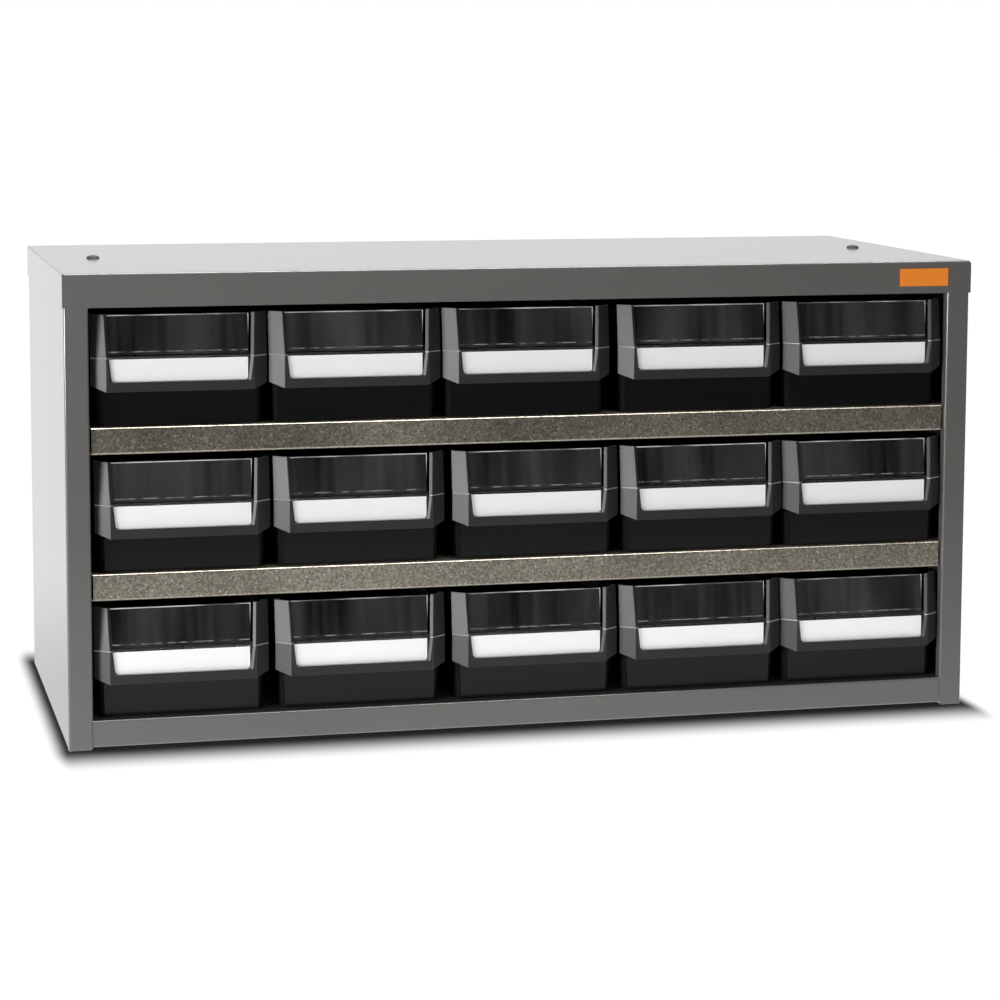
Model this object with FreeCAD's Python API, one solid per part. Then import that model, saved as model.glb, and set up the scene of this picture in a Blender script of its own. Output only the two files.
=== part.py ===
"""Parts bin cabinet: a folded steel shell with two zinc shelves and fifteen open-top plastic bins.

Millimetres. X runs across the front, Y from front to back and Z upwards.
The origin is the middle of the base, on the surface that the cabinet stands on.
Each bin is one moulding with a hooded front. A clear pane slides down behind the hood's frame,
and a paper label stands behind the lower part of the pane.
"""

import FreeCAD, Part
import math
import os

from FreeCAD import Vector

os.makedirs("parts", exist_ok=True)

# Outside of the cabinet
cabinet_width = 900.0
cabinet_depth = 400.0
cabinet_height = 450.0
rows = 3
columns = 5

# Sheet steel of the shell
sheet = 1.0
bend_radius = 1.0
seam = 0.1  # room between two sheets that lie on each other
lid_lip = 32.0
lid_return = 12.0  # inward return along the bottom of the lid's front lip
relief = 3.0  # legs of the triangular relief where three bends meet at a corner
front_flange = 23.0
flange_return = 10.0
rear_flange = 20.0
foot_flange = 20.0
foot_rise = 6.0  # height of the side wall that is folded up from the foot flange
foot_corner = 2.0  # chamfer at the inner toe of the front flange
fit_gap = 0.4  # room at the ends of sheets that drop in between two others

# Floor panel and shelves
foot_gap = 2.5  # how far the rail stays above the ground
rail_height = 25.5
rail_return = 12.0
shelf_lip = 25.7
shelf_return = 8.0
shelf_setback = 5.0  # shelf lips lie this far behind the front flanges
shelf_side_gap = 2.0  # room beside the lip of a shelf
stop_height = 20.0  # upstand at the back of each floor that stops the bins
stop_gap = 1.0
support_leg = 18.0
support_sheet = 1.5

# Round plugs in the lid
plug_inset = 49.0  # plug axis to the side of the lid
plug_hole = 10.0
plug_head = 13.0
plug_rise = 3.0
plug_edge = 1.0  # upright edge of the head
plug_flat = 8.0  # flat middle of the head
plug_play = 0.2
plug_stem = 8.0
plug_sides = 24

# Name plate, left bare
badge_width = 51.0
badge_height = 17.5
badge_sheet = 0.6
badge_corner = 1.0
badge_inset = 50.0  # plate's middle to the side of the lid

# Bin tray
bin_length = 380.0
bin_gap = 3.6  # mean gap between neighbouring hoods
bin_headroom = 7.4
bin_float = 0.3  # running room over the floor
bin_front_inset = 1.0  # hoods lie this far behind the face of the lid
body_setback = 15.0  # tray front behind the hood front
body_inset = 5.5  # tray side at the floor, in from the side of the hood
body_draft = 2.0  # each side leans out this far up to the rim
body_corner = 5.0
wall = 2.0
rim_drop = 7.5  # rim below the top of the hood
rim_sheet = 2.0
rim_skirt = 6.0
skirt_sheet = 1.6
rim_corner_chamfer = 4.0  # inside the skirt's rear corners
brace_run = 16.0  # gusset between the hood and the rim
rib_width = 1.6
rib_reach = 1.5
rib_slot = 2.4  # slot for a divider between two ribs
rib_top_gap = 8.0

# Hood of the bin, heights above the bin's underside
hood_front_low = 33.4
hood_rear_low = 38.7
hood_break = 64.5
break_step = 0.8
bevel_width = 13.5
bevel_depth = 10.0
hood_flare = 1.6  # the front face widens this much on each side up to the top
hood_lean = 6.0  # the top of the front face lies this far back
hood_side = 3.2  # least depth of the hood's upright sides behind its bevels
frame_side = 3.0  # width of the frame beside the opening at the break
reveal_width = 2.4  # slanted inner side of the frame
reveal_depth = 1.7
label_taper = 2.5  # the opening narrows this much on each side down to the band
opening_low = 42.4
opening_corner = 2.2  # cut across the lower corners of the opening
ledge_rise = 1.7  # ledge's top above the break
ledge_sheet = 1.8
ledge_slot = 2.0
ledge_slot_depth = 3.0
keeper_sheet = 1.5

# Clear pane and paper label
pane_sheet = 1.2
pane_play = 0.2
pane_lap = 1.6  # pane's edge behind the frame
pane_top_gap = 0.6
side_room = 2.5  # pane and card end this far short of the frame on the right
keeper_lap = 2.4  # the keepers stand this far behind the pane's edges
label_sheet = 0.4
label_height = 22.9
label_lap = 1.0  # card's left end behind the frame

overrun = 5.0  # how far a cutting body stands past what it cuts

# Where each bin lies in its side play, row by row from the top, in shares of the mean gap
play_shares = (
    (-0.35, -0.80, -1.15, 0.30, 0.28),
    (0.28, 0.30, 1.58, 1.42, 0.83),
    (-0.28, 0.55, 1.60, 1.44, 0.83),
)
divider_share = 0.5  # place of the divider slot along the tray
slot_shares = (-0.37, 0.00, 0.37)  # places of the ledge's slots across the label

# Planes and heights that follow from the sizes above
front = -cabinet_depth / 2
panel_front = front + sheet + seam
panel_back = -panel_front
panel_side = cabinet_width / 2 - sheet - seam
panel_top = cabinet_height - sheet - seam
wall_inside = panel_side - sheet
opening_half = panel_side - front_flange
rail_top = foot_gap + rail_height
clear_height = cabinet_height - lid_lip - rail_top
bay_height = (clear_height - (rows - 1) * shelf_lip) / rows
shelf_pitch = bay_height + shelf_lip
back_face = panel_back - sheet - seam  # rear face of the back panel
hood_width = (2 * opening_half - (columns + 1) * bin_gap) / columns
bin_pitch = hood_width + bin_gap
bin_front = front + bin_front_inset
stop_face = bin_front + bin_length + stop_gap
hood_top = bay_height - bin_headroom
hood_half = hood_width / 2
rim_top = hood_top - rim_drop
opening_half_break = hood_half - bevel_width - frame_side
hood_back = hood_lean + break_step + bevel_depth + hood_side
free_edge = opening_half_break - side_room  # right end of pane and card


def box(low, high):
    """A block between two corners."""
    size = [b - a for a, b in zip(low, high)]
    return Part.makeBox(*size, Vector(*low))


def block(half, y0, y1, z0, z1):
    """A block that lies evenly about the middle plane."""
    return box((-half, y0, z0), (half, y1, z1))


def outline(points):
    """A closed wire through a few corners."""
    return Part.makePolygon([Vector(*p) for p in points] + [Vector(*points[0])])


def prism(points, travel):
    """A flat outline pushed along a vector."""
    return Part.Face(outline(points)).extrude(Vector(*travel))


def stacked(sections):
    """Flat-faced solid through level outlines with parallel sides, anticlockwise from above."""
    faces = [Part.Face(outline(sections[0][::-1])), Part.Face(outline(sections[-1]))]
    for low, high in zip(sections, sections[1:]):
        low, high = low + low[:1], high + high[:1]
        for i in range(len(low) - 1):
            faces.append(Part.Face(outline([low[i], low[i + 1], high[i + 1], high[i]])))
    return Part.makeSolid(Part.makeShell(faces))


def rounded_run(points, radii):
    """Lines through points, with an arc of the given radius at each inner corner."""
    edges = []
    start = points[0]
    for before, corner, after, radius in zip(points, points[1:], points[2:], radii):
        towards = (before - corner).normalize()
        away = (after - corner).normalize()
        half = towards.getAngle(away) / 2
        inward = (towards + away).normalize()
        first = corner + towards * (radius / math.tan(half))
        last = corner + away * (radius / math.tan(half))
        middle = corner + inward * (radius / math.sin(half) - radius)
        edges.append(Part.LineSegment(start, first).toShape())
        edges.append(Part.Arc(first, middle, last).toShape())
        start = last
    edges.append(Part.LineSegment(start, points[-1]).toShape())
    return edges


def folded(path, normal, thickness, travel):
    """Folded sheet: path is its outer face, the sheet lies to the left of it about normal."""
    path = [Vector(*p) for p in path]
    normal = Vector(*normal)
    runs = [(b - a).normalize() for a, b in zip(path, path[1:])]
    lefts = [normal.cross(run) for run in runs]
    inner = [path[0] + lefts[0] * thickness]
    for corner, one, two in zip(path[1:-1], lefts, lefts[1:]):
        inner.append(corner + (one + two) * (thickness / (1 + one.dot(two))))
    inner.append(path[-1] + lefts[-1] * thickness)
    turns = [one.cross(two).dot(normal) for one, two in zip(runs, runs[1:])]
    wide = bend_radius + thickness
    path_radii = [wide if turn > 0 else bend_radius for turn in turns]
    inner_radii = [bend_radius if turn > 0 else wide for turn in turns]
    edges = rounded_run(path, path_radii) + rounded_run(inner, inner_radii)
    edges.append(Part.LineSegment(path[0], inner[0]).toShape())
    edges.append(Part.LineSegment(path[-1], inner[-1]).toShape())
    wire = Part.Wire(Part.__sortEdges__(edges))
    return Part.Face(wire).extrude(Vector(*travel))


def mirrored(shape):
    """The same piece for the other side of the cabinet."""
    return shape.mirror(Vector(0, 0, 0), Vector(1, 0, 0))


def write(name, shape):
    """Cleans one piece, checks it and writes it under its node's name."""
    shape = shape.removeSplitter()
    if not shape.isValid():
        raise ValueError(name + " is not a valid solid")
    shape.exportStep("parts/" + name + ".step")


def top_lid():
    """Lid: one sheet with four lips folded down, a return under the front lip and two plug holes."""
    half = cabinet_width / 2
    low = cabinet_height - lid_lip
    back = -front
    shell = block(half, front, back, low, cabinet_height)
    top_edges = [e for e in shell.Edges if e.BoundBox.ZMin > cabinet_height - sheet]
    shell = shell.makeFillet(bend_radius + sheet, top_edges)
    ceiling = cabinet_height - sheet
    shell = shell.cut(block(half - sheet, front + sheet, back - sheet, low - overrun, ceiling))
    lip_inside = front + sheet
    hem = block(opening_half - fit_gap, lip_inside, front + lid_return, low, low + sheet)
    shell = shell.fuse(hem)
    for x in (-half, half):
        for y in (front, back):
            inward_x = math.copysign(relief, -x)
            inward_y = math.copysign(relief, -y)
            z = ceiling - sheet
            corner = [(x, y, z), (x + inward_x, y, z), (x, y + inward_y, z)]
            shell = shell.cut(prism(corner, (0, 0, sheet + overrun)))
    for x in plug_places():
        foot = Vector(x, 0, low)
        shell = shell.cut(Part.makeCylinder(plug_hole / 2, lid_lip + overrun, foot))
    return shell


def plug_places():
    """X of the two plugs, left and right."""
    reach = cabinet_width / 2 - plug_inset
    return -reach, reach


def ring(radius, z):
    """Level regular outline that stands for a circle."""
    angles = [2 * math.pi * i / plug_sides for i in range(plug_sides)]
    return [(radius * math.cos(a), radius * math.sin(a), z) for a in angles]


def lid_plug(x):
    """Push-in plug: a low bevelled head on a stem that fills its hole."""
    radius = plug_head / 2
    inner = plug_hole / 2 - plug_play
    head = stacked([ring(radius, 0), ring(radius, plug_edge), ring(plug_flat / 2, plug_rise)])
    stem = stacked([ring(inner, -plug_stem), ring(inner, plug_edge)])
    return head.fuse(stem).translated(Vector(x, 0, cabinet_height))


def side_panel():
    """Right side: a wall with a boxed front flange, a rear flange and a foot flange."""
    inner_edge = panel_side - front_flange
    path = [
        (inner_edge, panel_front + flange_return, 0),
        (inner_edge, panel_front, 0),
        (panel_side, panel_front, 0),
        (panel_side, panel_back, 0),
        (panel_side - rear_flange, panel_back, 0),
    ]
    panel = folded(path, (0, 0, 1), sheet, (0, 0, panel_top))
    y0 = panel_front + flange_return
    y1 = back_face - sheet - fit_gap
    inside = panel_side - sheet - seam
    panel = panel.cut(box((inside, y0, -overrun), (panel_side + overrun, y1, foot_rise)))
    foot = [
        (panel_side, y0, foot_rise),
        (panel_side, y0, 0),
        (panel_side - foot_flange, y0, 0),
    ]
    panel = panel.fuse(folded(foot, (0, 1, 0), sheet, (0, y1 - y0, 0)))
    y = panel_front - overrun
    toe = [
        (inner_edge - overrun, y, -overrun),
        (inner_edge + foot_corner + overrun, y, -overrun),
        (inner_edge - overrun, y, foot_corner + overrun),
    ]
    return panel.cut(prism(toe, (0, flange_return + overrun * 2, 0)))


def drop_in_floor(path, lip_half):
    """A floor between the side walls: wide behind the front flanges, as narrow as its lip before them."""
    half = wall_inside - fit_gap
    start = Vector(-half, 0, 0)
    floor = folded(path, (-1, 0, 0), sheet, (2 * half, 0, 0)).translate(start)
    low = min(point[2] for point in path) - overrun
    y1 = panel_front + flange_return + fit_gap
    corner = box((lip_half, front - overrun, low), (half + overrun, y1, cabinet_height))
    return floor.cut(corner).cut(mirrored(corner))


def bottom_panel():
    """Painted floor with the bottom rail folded down in front and a bin stop folded up behind."""
    path = [
        (0, panel_front + rail_return, foot_gap),
        (0, panel_front, foot_gap),
        (0, panel_front, rail_top),
        (0, stop_face, rail_top),
        (0, stop_face, rail_top + stop_height),
    ]
    return drop_in_floor(path, opening_half - seam)


def shelf(level):
    """Zinc shelf: the same folds, with its lip set back behind the flanges."""
    top = rail_top + level * shelf_pitch
    lip = panel_front + shelf_setback
    path = [
        (0, lip + shelf_return, top - shelf_lip),
        (0, lip, top - shelf_lip),
        (0, lip, top),
        (0, stop_face, top),
        (0, stop_face, top + stop_height),
    ]
    return drop_in_floor(path, opening_half - shelf_side_gap)


def shelf_support(level):
    """Right-hand angle under one end of a shelf, fixed to the side wall."""
    top = rail_top + level * shelf_pitch - sheet - seam
    wall_face = wall_inside - seam
    y0 = panel_front + flange_return + fit_gap
    y1 = back_face - sheet - fit_gap
    path = [
        (wall_face, y0, top - support_leg),
        (wall_face, y0, top),
        (wall_face - support_leg, y0, top),
    ]
    return folded(path, (0, -1, 0), support_sheet, (0, y1 - y0, 0))


def back_panel():
    """Flat sheet that lies against the rear flanges from the inside."""
    half = wall_inside - bend_radius - seam
    return block(half, back_face - sheet, back_face, foot_gap, panel_top - seam)


def badge():
    """Bare plate on the lid's front lip."""
    x = cabinet_width / 2 - badge_inset
    z = cabinet_height - lid_lip / 2
    half = badge_width / 2
    low = z - badge_height / 2
    plate = box((x - half, front - badge_sheet, low), (x + half, front, low + badge_height))
    corners = [e for e in plate.Edges if e.BoundBox.YLength > badge_sheet / 2]
    return plate.makeFillet(badge_corner, corners)


def side_at(z):
    """Half the outer width of a tray at a height."""
    return hood_half - body_inset + body_draft * z / rim_top


def tray_section(z, inset):
    """Outline of the tray at a height, drawn in from its outside."""
    half = side_at(z) - inset
    y0 = body_setback + inset
    y1 = bin_length - hood_half + half
    return [(-half, y0, z), (half, y0, z), (half, y1, z), (-half, y1, z)]


def tray_body(inset, z0, z1):
    """Tapered body of the tray between two heights: rounded in front, chamfered elsewhere."""
    body = stacked([tray_section(z0, inset), tray_section(z1, inset)])
    corners = [e for e in body.Edges if e.BoundBox.ZLength > (z1 - z0) / 2]
    if inset:
        return body.makeChamfer(body_corner - inset, corners)
    rear = [e for e in corners if e.BoundBox.YMin > bin_length / 2]
    body = body.makeChamfer(body_corner, rear)
    corners = [e for e in body.Edges if e.BoundBox.ZLength > (z1 - z0) / 2]
    return body.makeFillet(body_corner, [e for e in corners if e.BoundBox.YMax < bin_length / 2])


def hood_section(z, widen, lean, inset):
    """Hood in plan. widen and lean move its front face, inset is the wall for the hollow inside."""
    run = bevel_width - widen
    depth = bevel_depth * run / bevel_width
    slant = math.hypot(run, depth)
    front_half = hood_half - run - inset * (slant - run) / depth
    side = hood_half - inset
    turn = lean + depth + inset * (slant - depth) / run
    right = [(front_half, lean + inset), (side, turn), (side, hood_back - inset)]
    points = right + [(-x, y) for x, y in reversed(right)]
    return [(x, y, z) for x, y in points]


def hood_body(inset):
    """Solid through the hood's heights: upright to the break, a small step, then up and back."""
    lift = overrun if inset else 0
    share = break_step / (hood_top - hood_break)
    reach = 1 + lift / (hood_top - hood_break)
    sections = [
        hood_section(hood_front_low - lift, 0, 0, inset),
        hood_section(hood_break, 0, 0, inset),
        hood_section(hood_break + break_step, hood_flare * share, break_step, inset),
        hood_section(hood_top + lift, hood_flare * reach, break_step + hood_lean * reach, inset),
    ]
    return stacked(sections)


def underside():
    """Body that gives the hood its lower edge: slanting along the bevels, then level."""
    slope = (hood_rear_low - hood_front_low) / bevel_depth
    x = -hood_half - overrun
    low = hood_front_low - overrun
    far = hood_back + overrun
    points = [
        (x, -overrun, hood_front_low - slope * overrun),
        (x, bevel_depth, hood_rear_low),
        (x, far, hood_rear_low),
        (x, far, low - overrun),
        (x, -overrun, low - overrun),
    ]
    return prism(points, (2 * hood_half + 2 * overrun, 0, 0))


def face_opening():
    """Opening in the hood's face: tapered round the label, wider up to the open top."""
    low = opening_half_break - label_taper
    wide = opening_half_break + hood_flare
    share = opening_corner / (hood_break - opening_low)
    right = [
        (low - opening_corner, opening_low),
        (low + label_taper * share, opening_low + opening_corner),
        (opening_half_break, hood_break),
        (wide, hood_top),
        (wide, hood_top + overrun),
    ]
    points = right + [(-x, z) for x, z in reversed(right)]
    depth = 2 * overrun + wall + hood_lean + break_step
    return prism([(x, -overrun, z) for x, z in points], (0, depth, 0))


def reveal_section(z, half, lean):
    """Slice of the wedge that slants the right inner side of the frame."""
    outer = half + 2 * reveal_width
    near = lean - reveal_depth
    far = lean + reveal_depth
    inner = half - reveal_width
    return [(inner, near, z), (outer, near, z), (half, far, z), (inner, far, z)]


def reveals():
    """Wedges along both sides of the opening, from its lower corners up to its open top."""
    reach = 1 + overrun / (hood_top - hood_break)
    share = break_step / (hood_top - hood_break)
    sections = [
        reveal_section(opening_low, opening_half_break - label_taper, 0),
        reveal_section(hood_break, opening_half_break, 0),
        reveal_section(hood_break + break_step, opening_half_break + hood_flare * share, break_step),
        reveal_section(
            hood_top + overrun,
            opening_half_break + hood_flare * reach,
            break_step + hood_lean * reach,
        ),
    ]
    right = stacked(sections)
    return right.fuse(mirrored(right))


def pane_back():
    """Rear face of the pane's upright part."""
    return wall + pane_play + pane_sheet


def label_seat():
    """Front face of what stands behind the label."""
    return pane_back() + label_sheet + 2 * pane_play


def inside_hood(shape):
    """Trims a small part to the hood, so that it ends in the hood's wall."""
    return shape.common(hood_body(0))


def ledge():
    """Ledge from the tray's front wall to the pane, with three slots in its front edge."""
    top = hood_break + ledge_rise
    slab = block(hood_half, label_seat(), body_setback + wall, top - ledge_sheet, top)
    for share in slot_shares:
        x = share * 2 * opening_half_break
        y1 = label_seat() + ledge_slot_depth
        low = (x - ledge_slot / 2, -overrun, top - ledge_sheet - overrun)
        slab = slab.cut(box(low, (x + ledge_slot / 2, y1, top + overrun)))
    return inside_hood(slab)


def pane_seat():
    """Sill under the pane and an upright keeper behind each side of it."""
    top = opening_low - pane_lap - pane_play
    y1 = label_seat() + keeper_sheet
    inner = free_edge - keeper_lap
    seat = block(opening_half_break, wall / 2, y1, top - keeper_sheet, top)
    keeper = box((inner, label_seat(), top - keeper_sheet), (hood_half, y1, hood_break))
    seat = seat.fuse(inside_hood(keeper))
    return seat.fuse(inside_hood(mirrored(keeper)))


def rim():
    """Outward rim round the sides and the back, with a skirt that stiffens it."""
    y0 = body_setback + wall
    overhang = hood_half - side_at(rim_top)
    corner = body_corner + overhang * (2 - math.sqrt(2))
    z0 = rim_top - rim_skirt
    z1 = rim_top + overrun
    band = block(hood_half, -overrun, bin_length, z0, rim_top)
    rear = [e for e in band.Edges if e.BoundBox.ZLength > rim_skirt / 2 and e.BoundBox.YMin > y0]
    band = band.makeChamfer(corner, rear)
    core = block(
        hood_half - skirt_sheet,
        -2 * overrun,
        bin_length - skirt_sheet,
        z0 - overrun,
        rim_top - rim_sheet,
    )
    rear = [e for e in core.Edges if e.BoundBox.ZLength > rim_skirt and e.BoundBox.YMin > y0]
    band = band.cut(core.makeChamfer(rim_corner_chamfer, rear))
    inner = block(hood_half - wall, -2 * overrun, y0, z0 - overrun, z1)
    outer = block(hood_half + overrun, -2 * overrun, hood_back - hood_side, z0 - overrun, z1)
    return band.cut(inner).cut(outer)


def braces():
    """Gussets that lead from the hood's top down to the rim."""
    outer = side_at(rim_top)
    y0 = body_setback + wall
    x = outer - wall
    points = [(x, y0, rim_top), (x, y0 + brace_run, rim_top), (x, y0, hood_top)]
    brace = prism(points, (wall, 0, 0))
    return brace.fuse(mirrored(brace))


def divider_ribs():
    """A pair of ribs on each side wall that holds a loose divider."""
    top = rim_top - rib_top_gap
    zone = tray_body(wall, wall, top).cut(tray_body(wall + rib_reach, wall, top))
    middle = body_setback + divider_share * (bin_length - body_setback)
    ribs = []
    for step in (-1, 1):
        y0 = middle + step * (rib_slot + rib_width) / 2 - rib_width / 2
        rib = box((0, y0, wall), (hood_half, y0 + rib_width, top)).common(zone)
        ribs += [rib, mirrored(rib)]
    return ribs


def bin_moulding():
    """One bin: tray, hood, ledge, pane seat, rim, gussets and divider ribs as one moulding."""
    tray = tray_body(0, 0, rim_top)
    hood = hood_body(0).cut(hood_body(wall)).cut(underside())
    hood = hood.cut(face_opening()).cut(reveals())
    body = tray.fuse(hood)
    body = body.cut(tray_body(wall, wall, hood_top + overrun))
    ledge_top = hood_break + ledge_rise
    view = opening_half_break
    y1 = body_setback + wall + overrun
    body = body.cut(block(view, body_setback - pane_play, y1, ledge_top, hood_top + overrun))
    ring = rim().cut(tray_body(wall, wall, hood_top + overrun))
    return body.multiFuse([ledge(), pane_seat(), ring, braces()] + divider_ribs())


def pane_section(z, widen, y0):
    """Slice of the pane at a height: behind the frame on the left, short of it on the right."""
    x0 = -opening_half_break - pane_lap - widen
    x1 = free_edge + widen
    y1 = y0 + pane_sheet
    return [(x0, y0, z), (x1, y0, z), (x1, y1, z), (x0, y1, z)]


def window_pane():
    """Clear pane: upright over the label, bent back with the hood above the break."""
    low = opening_low - pane_lap
    top = hood_top - pane_top_gap
    y0 = wall + pane_play
    sections = [
        pane_section(low, -label_taper, y0),
        pane_section(hood_break, 0, y0),
        pane_section(hood_break + break_step, 0, y0 + break_step),
        pane_section(top, hood_flare, y0 + break_step + hood_lean),
    ]
    return stacked(sections)


def label_card():
    """Blank paper card."""
    y0 = pane_back() + pane_play
    z0 = opening_low - pane_lap
    low = (-opening_half_break - label_lap, y0, z0)
    return box(low, (free_edge, y0 + label_sheet, z0 + label_height))


def bin_places():
    """Name, and place of the origin of each bin: middle of its front, on its underside."""
    for row, shares in enumerate(play_shares[:rows]):
        z = rail_top + (rows - 1 - row) * shelf_pitch + bin_float
        for column, share in enumerate(shares[:columns]):
            middle = (column - (columns - 1) / 2) * bin_pitch
            name = "r%dc%d" % (row + 1, column + 1)
            yield name, Vector(middle + share * bin_gap, bin_front, z)


def build():
    """Writes every piece."""
    write("top_lid", top_lid())
    right = side_panel()
    write("right_side_panel", right)
    write("left_side_panel", mirrored(right))
    write("bottom_panel", bottom_panel())
    write("back_panel", back_panel())
    for level, name in ((1, "lower"), (2, "upper")):
        write(name + "_shelf", shelf(level))
        support = shelf_support(level)
        write(name + "_shelf_support_right", support)
        write(name + "_shelf_support_left", mirrored(support))
    for x, name in zip(plug_places(), ("left", "right")):
        write("lid_plug_" + name, lid_plug(x))
    write("badge", badge())
    moulding = bin_moulding().removeSplitter()
    pane = window_pane()
    card = label_card()
    for name, place in bin_places():
        write("bin_" + name, moulding.translated(place))
        write("window_" + name, pane.translated(place))
        write("label_" + name, card.translated(place))


build()
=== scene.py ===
# %% [markdown]
# # A parts bin cabinet
# The real object is a folded steel shell with zinc shelves and rows of black plastic bins.
# The CAD frame already has every solid in its true size. Blender adds what the solids lack:
# soft moulded edges, clear panes, paint, zinc and paper, and the light of a small photo studio.

import math

import bmesh
import bpy
from mathutils import Matrix, Vector


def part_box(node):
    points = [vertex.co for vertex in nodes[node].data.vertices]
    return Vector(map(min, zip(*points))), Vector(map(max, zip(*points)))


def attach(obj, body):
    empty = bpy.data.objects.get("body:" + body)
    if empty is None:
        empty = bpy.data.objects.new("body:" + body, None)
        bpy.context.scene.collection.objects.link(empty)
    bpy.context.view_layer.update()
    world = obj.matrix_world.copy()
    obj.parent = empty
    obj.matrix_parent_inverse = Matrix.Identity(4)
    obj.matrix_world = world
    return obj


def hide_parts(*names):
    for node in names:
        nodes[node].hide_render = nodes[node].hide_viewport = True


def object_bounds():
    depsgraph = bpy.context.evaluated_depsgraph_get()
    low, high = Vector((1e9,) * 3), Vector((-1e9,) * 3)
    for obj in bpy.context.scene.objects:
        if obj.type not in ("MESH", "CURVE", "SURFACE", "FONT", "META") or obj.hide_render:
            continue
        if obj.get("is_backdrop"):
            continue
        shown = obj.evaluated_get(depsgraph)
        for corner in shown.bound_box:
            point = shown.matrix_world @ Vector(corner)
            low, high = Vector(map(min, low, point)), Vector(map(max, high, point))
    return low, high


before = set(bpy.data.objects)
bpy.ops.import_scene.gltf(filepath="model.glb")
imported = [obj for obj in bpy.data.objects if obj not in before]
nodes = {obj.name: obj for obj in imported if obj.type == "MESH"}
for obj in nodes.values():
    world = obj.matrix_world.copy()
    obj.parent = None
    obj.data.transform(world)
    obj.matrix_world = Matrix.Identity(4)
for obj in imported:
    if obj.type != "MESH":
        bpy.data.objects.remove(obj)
cad_low, cad_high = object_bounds()
MM = 0.001
bin_keys = sorted(name[4:] for name in nodes if name.startswith("bin_"))
print("bins", len(bin_keys), "box", [round(v, 4) for v in (*cad_low, *cad_high)])

# %% [markdown]
# ## Materials
# Every finish is a Principled BSDF with a little noise in it. The noise is the same effect each
# time, so it lives in one node group: it varies a colour and a roughness, and gives a height.
# A tree of nodes written out in full is long, so a few helpers make each calculation one line.

# %% Helpers for node trees


def feed(tree, socket, value):
    """Gives a socket a link or a plain number."""
    if isinstance(value, (int, float)):
        socket.default_value = value
    else:
        tree.links.new(value, socket)


def math_node(tree, operation, *values, clamp=False):
    """A Math node whose inputs are links or plain numbers."""
    node = tree.nodes.new("ShaderNodeMath")
    node.operation = operation
    node.use_clamp = clamp
    for socket, value in zip(node.inputs, values):
        feed(tree, socket, value)
    return node.outputs[0]


def scaled_color(tree, color, gain):
    """A colour made brighter or darker by a factor."""
    node = tree.nodes.new("ShaderNodeVectorMath")
    node.operation = "SCALE"
    tree.links.new(color, node.inputs[0])
    tree.links.new(gain, node.inputs["Scale"])
    return node.outputs["Vector"]


def noise(tree, place, scale, detail=2.0):
    """Noise at a place, with the size and the detail that are asked for."""
    node = tree.nodes.new("ShaderNodeTexNoise")
    tree.links.new(place, node.inputs["Vector"])
    feed(tree, node.inputs["Scale"], scale)
    node.inputs["Detail"].default_value = detail
    return node.outputs["Fac"]


def own_place(tree):
    """Each point's place on the piece itself, in metres."""
    return tree.nodes.new("ShaderNodeTexCoord").outputs["Object"]


def new_socket(group, name, direction, kind, default=None):
    """Adds one socket to a node group's outside."""
    kind = "NodeSocket" + kind
    socket = group.interface.new_socket(name=name, in_out=direction, socket_type=kind)
    if default is not None:
        socket.default_value = default


print("helpers for links, numbers, noise and sockets are ready")

# %% A node group for fine surface variation
BROAD_NOISE = 9.0


def build_variation_group():
    """Colour, roughness and height that vary over a surface at two scales."""
    group = bpy.data.node_groups.new("surface_variation", "ShaderNodeTree")
    new_socket(group, "Color", "INPUT", "Color", (0.5, 0.5, 0.5, 1))
    new_socket(group, "Roughness", "INPUT", "Float", 0.5)
    new_socket(group, "Scale", "INPUT", "Float", 300.0)
    new_socket(group, "Color Amount", "INPUT", "Float", 0.1)
    new_socket(group, "Roughness Amount", "INPUT", "Float", 0.1)
    new_socket(group, "Color", "OUTPUT", "Color")
    new_socket(group, "Roughness", "OUTPUT", "Float")
    new_socket(group, "Height", "OUTPUT", "Float")
    given = group.nodes.new("NodeGroupInput").outputs
    result = group.nodes.new("NodeGroupOutput").inputs
    place = own_place(group)
    fine = noise(group, place, given["Scale"], detail=3.0)
    broad = noise(group, place, BROAD_NOISE)
    centred = math_node(group, "SUBTRACT", math_node(group, "ADD", fine, broad), 1.0)
    swing = math_node(group, "MULTIPLY", centred, given["Color Amount"])
    gain = math_node(group, "ADD", swing, 1.0)
    group.links.new(scaled_color(group, given["Color"], gain), result["Color"])
    spread = math_node(group, "MULTIPLY", centred, given["Roughness Amount"])
    rough = math_node(group, "ADD", given["Roughness"], spread, clamp=True)
    group.links.new(rough, result["Roughness"])
    group.links.new(fine, result["Height"])
    return group


variation = build_variation_group()
print("group", variation.name, "with", len(variation.nodes), "nodes")

# %% A finish is a Principled BSDF fed by that group


def find_node(material, kind):
    """The first node of a kind in a material."""
    return next(node for node in material.node_tree.nodes if node.type == kind)


def shader_of(material):
    """The Principled BSDF of a material."""
    return find_node(material, "BSDF_PRINCIPLED")


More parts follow.
